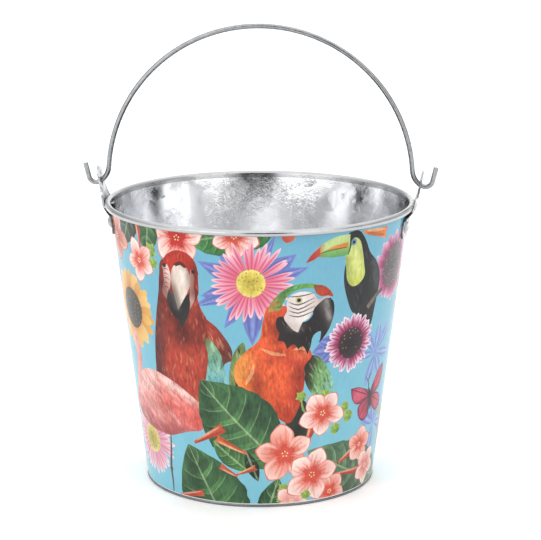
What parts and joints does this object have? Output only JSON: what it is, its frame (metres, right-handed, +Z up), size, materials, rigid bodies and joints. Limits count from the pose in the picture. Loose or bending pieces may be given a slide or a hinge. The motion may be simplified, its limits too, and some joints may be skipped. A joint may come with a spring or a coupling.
{
  "type": "printed galvanised bucket",
  "caption": "Tapered sheet-metal bucket with a curled rim, a printed outside, riveted ears and a swinging wire bail handle.",
  "frame": {"origin": "middle of the circle that the bucket stands on", "axes": "+Z up, X through both ears and the bail's hinge, -Y the front"},
  "size_m": [0.2294, 0.2, 0.2972],
  "materials": {
    "printed_sheet": "glossy lacquered print outside, bare bright spangled zinc inside and on the rim",
    "galvanised_sheet": "bright spangled zinc",
    "galvanised_ears": "stamped, bright zinc",
    "rivet_steel": "zinc-plated, domed",
    "bail_wire": "drawn and galvanised, dull grey"
  },
  "bodies": {
    "bucket": {"bucket_wall": "printed_sheet", "base_disc": "galvanised_sheet", "left_ear": "galvanised_ears", "right_ear": "galvanised_ears", "left_front_rivet": "rivet_steel", "left_rear_rivet": "rivet_steel", "right_front_rivet": "rivet_steel", "right_rear_rivet": "rivet_steel"},
    "bail": {"bail": "bail_wire"}
  },
  "joints": [
    {"name": "bail_swing", "type": "hinge", "parent": "bucket", "child": "bail", "pos_m": [0, 0, 0.1945], "axis": [1, 0, 0], "range_deg": [-95.4, 95.4]}
  ]
}
